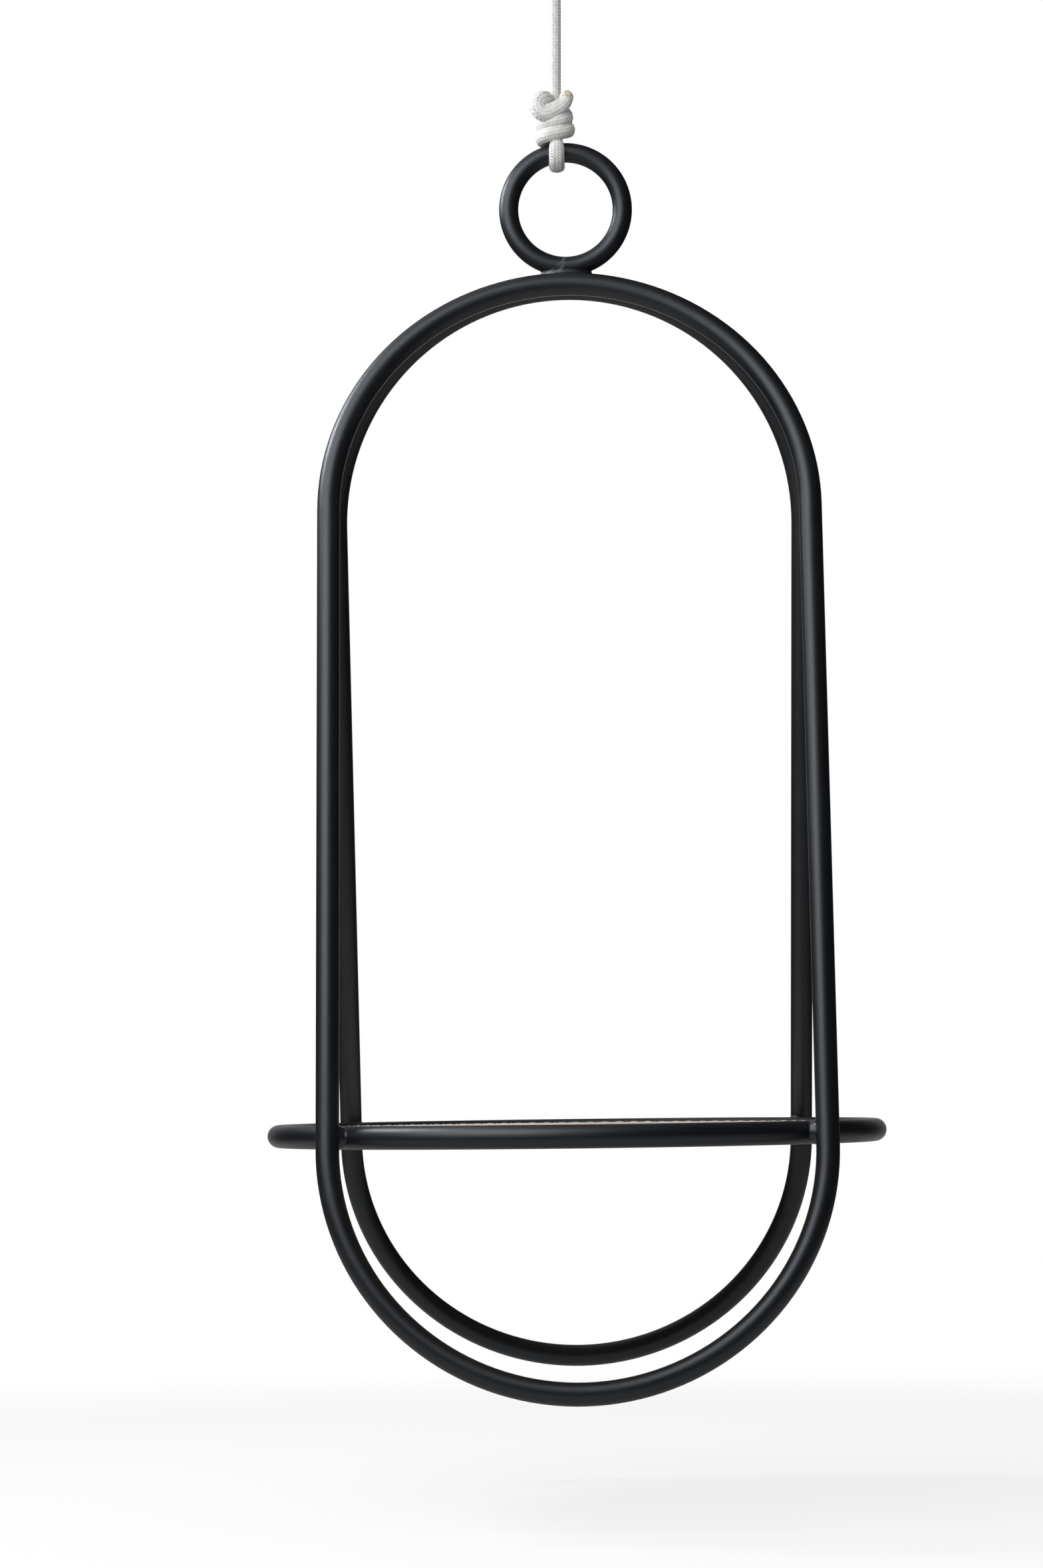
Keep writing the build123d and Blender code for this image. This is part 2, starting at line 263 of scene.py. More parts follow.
def close_tree(geometry, material):
    """Realize, set the material and end the tree."""
    real = geometry.node("GeometryNodeRealizeInstances", inputs={0: geometry})
    done = geometry.node("GeometryNodeSetMaterial", inputs={0: real, "Material": material})
    geometry.node("NodeGroupOutput", inputs={0: done})


def run_tree(tree, mesh, **values):
    """The mesh that a tree makes of another mesh."""
    carrier = bpy.data.objects.new(tree.name, mesh)
    scene.collection.objects.link(carrier)
    modifier = carrier.modifiers.new(tree.name, "NODES")
    modifier.node_group = tree
    for item in tree.interface.items_tree:
        if item.in_out == "INPUT" and item.name in values:
            modifier[item.identifier] = values[item.name]
    depsgraph = bpy.context.evaluated_depsgraph_get()
    result = bpy.data.meshes.new_from_object(carrier.evaluated_get(depsgraph))
    bpy.data.objects.remove(carrier)
    result.name = tree.name
    return result


print("tools ready")

# %% [markdown]
# ## The cord's route
# One rope hangs the seat: a noose on the swivel's eye, a straight run, and the noose on the hanging ring.
# Each noose goes round its bar, up the back, three times round its own standing part, and ends in a cut tail.
# The route is one NURBS curve with a few control points, about twelve for each turn.
# They were moved towards the knot in the picture, with no bend tighter than the cord's own radius.

# %% Points of the noose, in millimetres from the middle of its bar
bar_wraps = [
    (0, 20.0, 5), (-4, 19.4, 12),
    (-13, 14, 18), (-19.4, 4, 19), (-19.4, -7, 19.5), (-12, -16.5, 20.5),
    (-2, -19.5, 22), (7.5, -17.5, 23.5), (14.5, -9.5, 27), (16.5, 2.5, 30), (12, 13.5, 32.5), (2, 18, 33),
    (-9, 15.8, 33), (-17.4, 7.5, 33.5), (-18.8, -3, 34), (-16, -12, 34.5), (-8.5, -18, 35),
    (1.5, -19, 36.8), (9, -16, 39), (13.4, -7.5, 42), (13.6, 3, 46), (8, 12.5, 52), (0, 13.5, 57.5),
    (-8, 9.5, 61.5), (-13.5, 0.5, 62.5), (-12.6, -11, 63.8), (-16.8, -17, 64), (-21.2, -19.6, 60.6),
    (-22.8, -20.6, 54.4), (-20.6, -21, 48.2), (-14.8, -21, 45), (-7.5, -20.8, 46.6), (0, -20.8, 50.4),
    (6, -20, 53.8), (10.4, -19, 58), (12.4, -18.6, 62.6), (12.8, -18.8, 67),
]
eye_loop, ring_loop, ring_lean = 16.8, 17.4, -2


def noose_points(loop, lean):
    """Control points of one noose, from the straight run to the cut tail."""
    points = [(lean * 0.7, 0, 90), (lean, 0, 38), (lean * 0.3, 0, loop / math.sin(math.radians(60)))]
    for step in range(8):
        angle = math.radians(45 - 30 * step)
        out = loop / math.cos(math.radians(15))
        points.append((0, -out * math.cos(angle), out * math.sin(angle)))
    return [Vector(p) for p in points + bar_wraps]


print("points in a noose:", len(noose_points(ring_loop, ring_lean)))

# %% The whole route as one NURBS curve
eye_bar_z, ring_bar_z = -115.3, -415.3
upper = [Vector((p.x, -p.y, eye_bar_z - p.z)) for p in noose_points(eye_loop, 0)]
lower = [Vector((p.x, p.y, ring_bar_z + p.z)) for p in noose_points(ring_loop, ring_lean)]
route = [p / 1000 for p in upper[::-1] + lower]

line = bpy.data.curves.new("cord_route", "CURVE")
line.dimensions = "3D"
line.resolution_u = 12
spline = line.splines.new("NURBS")
spline.points.add(len(route) - 1)
for point, spot in zip(spline.points, route):
    point.co = (*spot, 1.0)
spline.order_u = 3
spline.use_endpoint_u = True
carrier = bpy.data.objects.new("cord_route", line)
scene.collection.objects.link(carrier)
depsgraph = bpy.context.evaluated_depsgraph_get()
cord_line = bpy.data.meshes.new_from_object(carrier.evaluated_get(depsgraph))
bpy.data.objects.remove(carrier)
cord_path = [v.co.copy() for v in cord_line.vertices]

# %% [markdown]
# The bar presses the cord flat where it carries the load, so the front strand is wider there.
# In the knot the wraps were pulled tight against each other.
# They are taller there than the bare cord, and fill the gaps.
# A vector on the route's points says how much the cord swells along each axis, and the braid reads it.
# The braid lies long in the taut run and is pushed short in the knots, so a second value counts its turns.

# %% Where the cord is pressed out of round


def ramp(value, low, high):
    return max(0.0, min(1.0, (value - low) / (high - low)))


taut_lay, slack_lay = 0.050, 0.034
cord_line.attributes.new("swell", "FLOAT_VECTOR", "POINT")
cord_line.attributes.new("turns", "FLOAT", "POINT")
swell, turns = cord_line.attributes["swell"], cord_line.attributes["turns"]
before, turned = cord_path[0], 0.0
for index, spot in enumerate(cord_path):
    side, bar_z = (-1, eye_bar_z) if spot.z > -0.25 else (1, ring_bar_z)
    rise = side * (spot.z * 1000 - bar_z)
    around = math.hypot(spot.x, spot.y) * 1000
    from_bar = math.hypot(spot.y * 1000, rise)
    on_bar = ramp(-from_bar, -24, -21.5) * ramp(-rise, -14, -3)
    in_knot = ramp(rise, 9, 15) * ramp(around, 8, 13)
    at_top = in_knot * ramp(rise, 36, 45)
    tail = in_knot * ramp(rise, 56, 64) * ramp(spot.x * 1000, 2, 8)
    lobe = at_top * ramp(-spot.x * 1000, 4, 13)
    swell.data[index].vector = (1 + 0.30 * on_bar - 0.05 * in_knot + 0.22 * tail + 0.44 * lobe,
                                1 - 0.24 * on_bar - 0.05 * in_knot,
                                1 - 0.24 * on_bar + 0.28 * in_knot + 0.20 * at_top - 0.2 * tail)
    slack = max(on_bar, in_knot, ramp(-rise, -30, -10))
    turned += (spot - before).length / (taut_lay + (slack_lay - taut_lay) * slack)
    turns.data[index].value = turned
    before = spot
print("turns of the braid:", round(turned, 1))

# %% [markdown]
# ## Braid
# The cover is twenty-four flat strands, twelve each way, that pass over two and under two.
# A bump map would leave the outline of a plain tube, so each strand is a real ribbon wound round the route.
# In such a braid the family on top depends only on the angle round the cord.
# So the radius is middle + rise * cos(6 * angle), and the other family takes the opposite sign.
# Each ribbon widens with the cord's swell, and its folded edges stay sharp, so that they shade as edges.

# %% Finish of the cord


def new_material(name):
    material = bpy.data.materials.new(name)
    material.use_nodes = True
    material.node_tree.nodes.clear()
    return material, Wire(material.node_tree)


def finish(paint, shader_inputs):
    shader = paint.node("ShaderNodeBsdfPrincipled", inputs=shader_inputs)
    paint.node("ShaderNodeOutputMaterial", inputs={"Surface": shader})


def bump(paint, height, strength, distance):
    return paint.node("ShaderNodeBump", inputs={"Height": height, "Strength": strength, "Distance": distance})


def speckle(paint, spot, scale, detail=3.0, roughness=0.55):
    """Noise from 0 to 1 on object coordinates; the scale is in cells a metre."""
    return paint.node("ShaderNodeTexNoise", inputs={
        "Vector": spot, "Scale": scale, "Detail": detail, "Roughness": roughness}, out="Fac")


cord_white, paint = new_material("cord_white")
lift = paint.node("ShaderNodeAttribute", {"attribute_name": "lift"}, out="Fac")
ribbon = paint.node("ShaderNodeAttribute", {"attribute_name": "ribbon"}, out="Fac")
strand = paint.node("ShaderNodeAttribute", {"attribute_name": "strand"}, out="Fac")
spot = paint.node("ShaderNodeTexCoord", out="Object")
soil = speckle(paint, spot, 90.0)
fibre = paint.math("SINE", ribbon * 26.0 + speckle(paint, spot, 700.0) * 5.0) * 0.5 + 0.5
# The colour is painted darker where a strand passes under its neighbours and on the core: painted shade in
# the gaps of the braid.
tone = lift.between(-0.9, 0.5) * 0.72 + paint.math("FRACT", strand * 0.618) * 0.14 + soil * 0.14
colour = tone.mix((0.17, 0.15, 0.125, 1.0), (0.84, 0.825, 0.795, 1.0))
finish(paint, {"Base Color": colour, "Roughness": 0.62 + fibre * 0.2, "Sheen Weight": 0.25,
               "Sheen Roughness": 0.5, "Normal": bump(paint, fibre, 0.35, 0.0002)})
print("cord finish ready")

# %% Braid tree
braid, wire = new_tree("cord_braid", Pairs="Int", Middle="Float", Rise="Float",
                       Width="Float", Thickness="Float", Core="Float", Step="Float", Material="Material")


def stored(wire, geometry, name, value, kind="FLOAT"):
    return wire.node("GeometryNodeStoreNamedAttribute", {"data_type": kind, "domain": "POINT"},
                     {"Geometry": geometry, "Name": name, "Value": value})


def read(wire, name, kind="FLOAT"):
    return wire.node("GeometryNodeInputNamedAttribute", {"data_type": kind}, {"Name": name})


def ring_curve(wire, sides, radius):
    return wire.node("GeometryNodeCurvePrimitiveCircle", {"mode": "RADIUS"}, {
        "Resolution": sides, "Radius": radius})


start = wire["Geometry"]
run = start.node("GeometryNodeMeshToCurve", inputs={0: start})
run = start.node("GeometryNodeResampleCurve", {"mode": "LENGTH"}, {"Curve": run, "Length": wire["Step"]})
run = start.node("GeometryNodeSetCurveNormal", {"mode": "MINIMUM_TWIST"}, {"Curve": run})
run = stored(start, run, "out", start.node("GeometryNodeInputNormal"), "FLOAT_VECTOR")
run = stored(start, run, "ahead", start.node("GeometryNodeInputTangent"), "FLOAT_VECTOR")
run = stored(start, run, "middle", start.node("GeometryNodeInputPosition"), "FLOAT_VECTOR")
doubled = start.node("GeometryNodeDuplicateElements", {"domain": "SPLINE"}, {
    "Geometry": run, "Amount": wire["Pairs"] * 2})
index = Wire(braid, doubled.socket.node.outputs["Duplicate Index"])
strands = stored(start, doubled, "strand", index)
print("braid tree:", len(braid.nodes), "nodes so far")

# %% Strand positions and ribbons
# The core's lift only sets its colour, painted darker as shade where the core shows between the strands.
core_shade_lift, fold_angle = -0.65, 1.6
number = read(start, "strand")
family = 1 - 2 * start.math("MODULO", number, 2.0)
angle = start.math("FLOOR", number / 2) * (2 * math.pi) / wire["Pairs"]
angle = angle + family * read(start, "turns") * (2 * math.pi)
lifted = family * start.math("COSINE", angle * (wire["Pairs"] / 2) - math.pi / 4)
radius = wire["Middle"] + wire["Rise"] * lifted
out = read(start, "out", "FLOAT_VECTOR")
side = start.vector("CROSS_PRODUCT", read(start, "ahead", "FLOAT_VECTOR"), out)


def scaled(vector, number):
    return vector.node("ShaderNodeVectorMath", {"operation": "SCALE"}, {0: vector, "Scale": number})


offset = start.vector("ADD", scaled(out, start.math("COSINE", angle) * radius),
                      scaled(side, start.math("SINE", angle) * radius))
offset = start.vector("MULTIPLY", offset, read(start, "swell", "FLOAT_VECTOR"))
strands = stored(start, strands, "lift", lifted)
strands = stored(start, strands, "radial", offset, "FLOAT_VECTOR")
strands = start.node("GeometryNodeSetPosition", inputs={"Geometry": strands, "Offset": offset})
radial = start.vector("NORMALIZE", read(start, "radial", "FLOAT_VECTOR"))
strands = start.node("GeometryNodeSetCurveNormal", {"mode": "FREE"}, {"Curve": strands, "Normal": radial})

ring = ring_curve(start, 3, 1.0)
ring = stored(start, ring, "ribbon", start.node("ShaderNodeSeparateXYZ", inputs={
    0: start.node("GeometryNodeInputPosition")}, out="Y"))
size = start.node("ShaderNodeCombineXYZ", inputs={0: wire["Thickness"] / 2, 1: wire["Width"] / 2, 2: 1.0})
ring = start.node("GeometryNodeTransform", inputs={"Geometry": ring, "Scale": size})
spread = start.vector("LENGTH", read(start, "swell", "FLOAT_VECTOR")) / math.sqrt(3)
ribbons = start.node("GeometryNodeCurveToMesh", inputs={
    "Curve": strands, "Profile Curve": ring, "Scale": spread, "Fill Caps": True})
core = start.node("GeometryNodeCurveToMesh", inputs={
    "Curve": run, "Profile Curve": ring_curve(start, 12, wire["Core"]), "Fill Caps": True})
core = stored(start, core, "lift", core_shade_lift)
middle = read(start, "middle", "FLOAT_VECTOR")
grown = start.vector("SUBTRACT", start.node("GeometryNodeInputPosition"), middle)
grown = start.vector("MULTIPLY", grown, read(start, "swell", "FLOAT_VECTOR"))
core = start.node("GeometryNodeSetPosition", inputs={
    "Geometry": core, "Position": start.vector("ADD", middle, grown)})
joined = start.node("GeometryNodeJoinGeometry", inputs={0: ribbons})
braid.links.new(core.socket, joined.socket.node.inputs[0])
smooth = start.node("GeometryNodeSetShadeSmooth", inputs={"Geometry": joined})
fold = start.math("GREATER_THAN", start.node("GeometryNodeInputMeshEdgeAngle"), fold_angle)
smooth = start.node("GeometryNodeSetShadeSmooth", {"domain": "EDGE"}, {
    "Geometry": smooth, "Selection": fold, "Shade Smooth": False})
close_tree(smooth, wire["Material"])
print("braid tree:", len(braid.nodes), "nodes")

# %% Cord
cord_mesh = run_tree(braid, cord_line, Pairs=12, Middle=0.0065, Rise=0.0006, Width=0.0042,
                     Thickness=0.0014, Core=0.0066, Step=0.0010, Material=cord_white)
cord_mesh.name = "braided_cord"
cord = place("braided_cord", cord_mesh, "cord", "cord_braid", "upper_noose", "hanging_cord", "lower_noose")
print("cord triangles:", sum(len(p.vertices) - 2 for p in cord_mesh.polygons))

# %% [markdown]
# The tails were cut with a hot knife, which melts the strands into a small brown cap.
# A dome on a disc, pushed about by noise, closes the braid there.

# %% Melted tail ends
melted, paint = new_material("melted_tail")
spot = paint.node("ShaderNodeTexCoord", out="Object")
scorch = speckle(paint, spot, 420.0)
colour = scorch.between(0.35, 0.7).mix((0.80, 0.74, 0.63, 1.0), (0.48, 0.38, 0.29, 1.0))
finish(paint, {"Base Color": colour, "Roughness": 0.35 + scorch * 0.3,
               "Normal": bump(paint, scorch, 0.5, 0.0006)})
cap_r = 0.0081


def melted_end(shape, tip, before):
    """Add one lumpy dome that caps the cord's end."""
    facing = (tip - before).normalized().to_track_quat("Z", "Y").to_matrix().to_4x4()
    cap = bmesh.ops.create_uvsphere(shape, u_segments=24, v_segments=12, radius=cap_r)["verts"]
    for vert in cap:
        vert.co *= 1 + 0.12 * noise.noise(vert.co * 260)
        vert.co.z *= 0.8 if vert.co.z > 0 else 0.4
        vert.co = tip + facing.to_3x3() @ vert.co


shape = bmesh.new()
melted_end(shape, cord_path[0], cord_path[4])
melted_end(shape, cord_path[-1], cord_path[-5])
for face in shape.faces:
    face.smooth = True
tail_mesh = bpy.data.meshes.new("melted_tails")
shape.to_mesh(tail_mesh)
shape.free()
tail_mesh.materials.append(melted)
tails = place("melted_tails", tail_mesh, "cord", "cord_braid")

# %% [markdown]
# ## Powder coat
# The tube is coated with baked black powder: satin, with a fine orange peel and a little dust.
# A flat black would look like plastic film, so the grain is a bump on object coordinates at its real size.
# Cells of a little over a millimetre carry the orange peel, and a finer noise breaks up the highlight.

# %% Black coats


def coat(name, colour, rough, marks=None):
    """Satin powder coat; marks(paint, spot) may give a mask of pale scuffs and painted highlight."""
    material, paint = new_material(name)
    spot = paint.node("ShaderNodeTexCoord", out="Object")
    peel = speckle(paint, spot, 800.0, 2.0)
    fine = speckle(paint, spot, 2600.0, 2.0)
    dust = speckle(paint, spot, 11.0, 5.0).between(0.48, 0.75)
    shade = dust.mix((*colour, 1.0), (*(1.5 * c for c in colour), 1.0))
    gloss = rough + peel * 0.10 + dust * 0.05
    if marks:
        mask = marks(paint, spot)
        shade = mask.mix(shade, (0.30, 0.31, 0.32, 1.0))
        gloss = gloss + mask * 0.15
    normal = bump(paint, peel * 0.6 + fine * 0.4, 0.40, 0.0005)
    finish(paint, {"Base Color": shade, "Roughness": gloss, "Specular IOR Level": 0.7,
                   "Specular Tint": (0.90, 0.95, 1.0, 1.0), "Normal": normal})
    return material


def dress(material, *names):
    """Give CAD nodes a finish."""
    for name in names:
        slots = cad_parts[name].data.materials
        slots.clear()
        slots.append(material)
    print(material.name, "on", len(names), "nodes")


tube_black, tube_rough = (0.0065, 0.0067, 0.0080), 0.34
frame_black = coat("frame_black", tube_black, tube_rough)
tubes = [side + part for side in ("front_", "rear_")
         for part in ("top_arch", "left_leg", "right_leg", "bottom_arch")]
dress(frame_black, "seat_ring", "seat_tabs", *tubes)
fitting_black = coat("fitting_black", (0.014, 0.014, 0.015), 0.42)
dress(fitting_black, "ceiling_plate", "swivel_housing", "swivel_eye", "housing_weld")

# %% [markdown]
# The weld under the hanging ring was ground by hand, and pale streaks still show through the coat there.
# They run from the inside of the ring down to the left end of the weld, on the front only.
# A Vector Rotate node lays the X axis along that line, and noise stretched along it makes the streaks.
# The streaks bow out and are widest half-way, so one parabola bends their line and sets their width. Near
# their lower end they are paler still: a painted highlight, added to the scuffs.

# %% Scuffed coat of the ring and its weld
apex = Vector((0.010, 0.0, -0.58024))
scuff_top = apex + Vector((-0.001, 0, 0.036))
scuff_end = apex + Vector((-0.0285, 0, 0.0145))
scuff_bend, scuff_spread, scuff_narrow = 0.030, 0.018, 0.0016


def scuffs_and_painted_highlight(paint, spot):
    """Mask of the pale streaks and of a painted highlight at their lower end, from 0 to 1."""
    run = scuff_end - scuff_top
    moved = paint.vector("SUBTRACT", spot, tuple(scuff_top))
    turned = paint.node("ShaderNodeVectorRotate", {"rotation_type": "Y_AXIS"}, {
        "Vector": moved, "Angle": math.atan2(run.z, run.x)})
    along = paint.node("ShaderNodeSeparateXYZ", inputs={0: turned}, out="X")
    aside = Wire(paint.tree, along.socket.node.outputs["Z"])
    front = Wire(paint.tree, along.socket.node.outputs["Y"])
    streaks = speckle(paint, paint.vector("MULTIPLY", turned, (60.0, 60.0, 260.0)), 1.0, 4.0, 0.6)
    share = along / run.length
    belly = share * (1 - share)
    ragged = (speckle(paint, spot, 160.0) - 0.5) * 0.004
    strayed = paint.math("ABSOLUTE", aside - belly * scuff_bend + ragged)
    inside = 1 - (strayed / (belly * scuff_spread + scuff_narrow)).between(0.2, 1.0)
    ends = along.between(-0.004, 0.006) * (1 - share.between(0.9, 1.1))
    # The lower end of the line is made paler: painted highlight, on top of the scuffs.
    tip = share.between(0.62, 0.98) * 0.45
    return inside * ends * (1 - front.between(-0.003, 0.001)) * (streaks.between(0.36, 0.72) * 0.55 + tip)


scuffed_black_with_painted_highlight = coat("scuffed_black_with_painted_highlight", tube_black, tube_rough, scuffs_and_painted_highlight)
dress(scuffed_black_with_painted_highlight, "hanging_ring")

# %% [markdown]
# ## Weld beads
# CAD gives each weld as a plain bead cut to fit. The real ones flow into both tubes with a hollow fillet.
# A bevel can't do that where two round tubes cross.
# So the tubes and the bead are joined in a voxel remesh and smoothed.
# Smoothing fills the hollow corners and draws the outside in under the CAD tubes, so only the fillet shows.

# %% Fillet helper


def add_tube(shape, points, radius, sides=28):
    """Closed tube along points."""
    angles = [2 * math.pi * step / sides for step in range(sides)]
    section = [Vector((radius * math.cos(a), radius * math.sin(a), 0)) for a in angles]
    rings = []
    for index, spot in enumerate(points):
        before = points[max(index - 1, 0)]
        after = points[min(index + 1, len(points) - 1)]
        facing = (after - before).normalized().to_track_quat("Z", "Y").to_matrix()
        rings.append([shape.verts.new(spot + facing @ corner) for corner in section])
    for first, second in zip(rings, rings[1:]):
        for step in range(sides):
            after = (step + 1) % sides
            shape.faces.new((first[step], first[after], second[after], second[step]))
    shape.faces.new(rings[0][::-1])
    shape.faces.new(rings[-1])


def flowed(name, shape, voxel, passes):
    """Join the closed shapes by remeshing, then smooth the corners."""
    mesh = bpy.data.meshes.new(name)
    bmesh.ops.recalc_face_normals(shape, faces=shape.faces)
    shape.to_mesh(mesh)
    shape.free()
    carrier = bpy.data.objects.new(name, mesh)
    scene.collection.objects.link(carrier)
    remesh = carrier.modifiers.new("join", "REMESH")
    remesh.mode = "VOXEL"
    remesh.voxel_size = voxel
    remesh.use_smooth_shade = True
    soften = carrier.modifiers.new("flow", "SMOOTH")
    soften.factor = 0.5
    soften.iterations = passes
    result = bpy.data.meshes.new_from_object(carrier.evaluated_get(bpy.context.evaluated_depsgraph_get()))
    bpy.data.objects.remove(carrier)
    return result


print("fillet helper ready")

# %% Weld under the hanging ring
splay = math.radians(13.6)
tube_r, ring_bar_r, loop_r, hanger_r = 0.014, 0.012, 0.294, 0.0705
hanger_middle = Vector((0.010, 0, -0.48513))
apex_half = 0.0143
bead_x, bead_y, bead_z, bead_rise = 0.033, 0.0115, 0.0125, 0.014
shape = bmesh.new()
sweep_angles = [math.radians(a) for a in range(-48, 49, 4)]
hoop = [hanger_middle + hanger_r * Vector((math.sin(a), 0, -math.cos(a))) for a in sweep_angles]
add_tube(shape, hoop, ring_bar_r)
arch_angles = [math.radians(a) for a in range(-12, 13, 2)]
for side in (-1, 1):
    down = Vector((0, side * math.sin(splay), -math.cos(splay)))
    middle = apex + Vector((0, side * apex_half, 0)) + loop_r * down
    arch = [middle + loop_r * (Vector((math.sin(a), 0, 0)) - math.cos(a) * down) for a in arch_angles]
    add_tube(shape, arch, tube_r)
bead = bmesh.ops.create_uvsphere(shape, u_segments=32, v_segments=16, radius=1.0)["verts"]
for vert in bead:
    vert.co = apex + Vector((vert.co.x * bead_x, vert.co.y * bead_y, vert.co.z * bead_z + bead_rise))
saddle = flowed("saddle_weld", shape, 0.0011, 14)
saddle.materials.append(scuffed_black_with_painted_highlight)
place("saddle_weld", saddle, "seat_frame", "weld", "hanger_weld")

# %% Welds of the legs on the seat ring
seat_middle = Vector((0.010, 0, -1.63027))
leg_y, seat_r = 0.26833, 0.36906
under_cad, corner_r = 0.0002, 0.0148
weld_black = coat("weld_black", (0.0115, 0.0115, 0.0125), 0.26)
shape = bmesh.new()
for side in (-1, 1):
    down = Vector((0, side * math.sin(splay), -math.cos(splay)))
    for hand in (-1, 1):
        outward = Vector((hand * loop_r, side * leg_y, 0)).normalized()
        facing = math.atan2(outward.y, outward.x)
        arc = [facing + 0.011 * step for step in range(-9, 10)]
        bend = [seat_middle + seat_r * Vector((math.cos(a), math.sin(a), 0)) for a in arc]
        add_tube(shape, bend, tube_r - under_cad)
        crossing = seat_middle + Vector((hand * loop_r, side * leg_y, 0))
        add_tube(shape, [crossing + down * (0.004 * step) for step in range(-9, 4)], tube_r - under_cad)
        between = seat_middle + outward * (seat_r + tube_r)
        bead = bmesh.ops.create_icosphere(shape, subdivisions=3, radius=corner_r)["verts"]
        for vert in bead:
            vert.co += between
corner_welds = flowed("corner_welds", shape, 0.0014, 12)
corner_welds.materials.append(weld_black)
place("corner_welds", corner_welds, "seat_frame", "weld", "ring_welds")

# %% [markdown]
# ## Swivel and screws
# Inside the ceiling cup are a bronze bush and a zinc plated washer and nut.
# The board is held by plated screws.
# Turned metal shows rings about its axis, plated metal a mottled grey.

# %% Metals


def bare_metal(name, colour, rough, ring_scale):
    material, paint = new_material(name)
    spot = paint.node("ShaderNodeTexCoord", out="Object")
    mottle = speckle(paint, spot, 160.0, 4.0)
    radius = paint.vector("LENGTH", paint.vector("MULTIPLY", spot, (1.0, 1.0, 0.0)))
    rings = paint.math("SINE", radius * ring_scale + mottle * 2.0) * 0.5 + 0.5
    shade = mottle.between(0.3, 0.7).mix((*(0.8 * c for c in colour), 1.0), (*colour, 1.0))
    finish(paint, {"Base Color": shade, "Metallic": 1.0, "Roughness": rough + mottle * 0.15,
                   "Normal": bump(paint, rings, 0.12, 0.0001)})
    return material


dress(bare_metal("bush_bronze", (0.60, 0.40, 0.20), 0.28, 9000.0), "swivel_bush")
plated_steel = bare_metal("plated_steel", (0.64, 0.65, 0.66), 0.24, 12000.0)
dress(plated_steel, "thrust_washer", "lock_nut", "seat_screws")

# %% [markdown]
# ## Board
# The pad lies on a birch ply board.
# Its face shows long grain, and its edge the thin plies, light and dark in turn.
# Height alone can draw the plies, so one material does both: the face's normal decides which is seen.

# %% Birch ply
birch, paint = new_material("birch_ply")
spot = paint.node("ShaderNodeTexCoord", out="Object")
height = paint.node("ShaderNodeSeparateXYZ", inputs={0: spot}, out="Z")
normal = paint.node("ShaderNodeNewGeometry", out="Normal")
upness = paint.node("ShaderNodeSeparateXYZ", inputs={0: normal}, out="Z")
ply_thick = 0.0013
grain = speckle(paint, paint.vector("MULTIPLY", spot, (7.0, 130.0, 130.0)), 1.0, 5.0, 0.6)
figure = speckle(paint, paint.vector("MULTIPLY", spot, (2.0, 14.0, 14.0)), 1.0, 3.0)
ply = paint.math("SINE", height * (math.pi / ply_thick)).between(-0.3, 0.3)
face = (grain * 0.6 + figure * 0.4).between(0.3, 0.7).mix((0.50, 0.34, 0.19, 1.0), (0.70, 0.53, 0.34, 1.0))
edge = ply.mix((0.34, 0.21, 0.11, 1.0), (0.62, 0.46, 0.29, 1.0))
colour = paint.math("ABSOLUTE", upness).between(0.4, 0.8).mix(edge, face)
finish(paint, {"Base Color": colour, "Roughness": 0.5 + grain * 0.2,
               "Normal": bump(paint, grain, 0.2, 0.0003)})
dress(birch, "seat_board")

# %% [markdown]
# ## Seat pad
# A thin round cushion of natural leather lies on the board. From the side only its edge is seen.
# A plain disc would look like a plate, so a slightly smaller disc is blown up by the Cloth simulation.
# The bottom stays pinned to the board, and no point may rise more than a few millimetres.

# %% Leather
leather, paint = new_material("natural_leather")
spot = paint.node("ShaderNodeTexCoord", out="Object")
cells = paint.node("ShaderNodeTexVoronoi", {"feature": "DISTANCE_TO_EDGE"}, {
    "Vector": spot, "Scale": 620.0}, out="Distance")
pebble = cells.between(0.0, 0.12)
cloud = speckle(paint, spot, 14.0, 5.0)
pores = speckle(paint, spot, 900.0, 2.0)
from_middle = paint.vector("LENGTH", paint.vector("MULTIPLY", paint.vector(
    "SUBTRACT", spot, tuple(seat_middle)), (1.0, 1.0, 0.0)))
# The colour is darker towards the pad's outer rim.
darker_rim = from_middle.between(0.305, 0.345)
tone = pebble * 0.35 + cloud * 0.75 - darker_rim * 0.10
colour = tone.between(0.1, 0.95).mix((0.47, 0.375, 0.30, 1.0), (0.76, 0.67, 0.58, 1.0))
finish(paint, {"Base Color": colour, "Roughness": 0.62 - pebble * 0.12 + pores * 0.12,
               "Normal": bump(paint, pebble * 0.8 + pores * 0.2, 0.30, 0.0005)})
print("leather ready")

# %% Pad before it is blown up
pad_low, pad_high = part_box("seat_pad")
pad_r = (pad_high.x - pad_low.x) / 2
stretch = 3.0
outline = [(0, 0.0004), (pad_r - 0.006, 0.0004), (pad_r - 0.0025, 0.0028), (pad_r - 0.006, 0.0054),
           (pad_r * 0.75, 0.0068), (pad_r * 0.4, 0.0081), (0, 0.0086)]
shape = bmesh.new()
line = [shape.verts.new((seat_middle.x + r, 0, h * stretch)) for r, h in outline]
edges = [shape.edges.new(pair) for pair in zip(line, line[1:])]
bmesh.ops.spin(shape, geom=line + edges, cent=(seat_middle.x, 0, 0), axis=(0, 0, 1),
               angle=2 * math.pi, steps=120)
bmesh.ops.remove_doubles(shape, verts=shape.verts, dist=0.00005)
disc = flowed("seat_disc", shape, 0.006, 1)
for vert in disc.vertices:
    vert.co.z = vert.co.z / stretch + pad_low.z
print("pad disc:", len(disc.vertices), "points, radius", round(pad_r, 4))

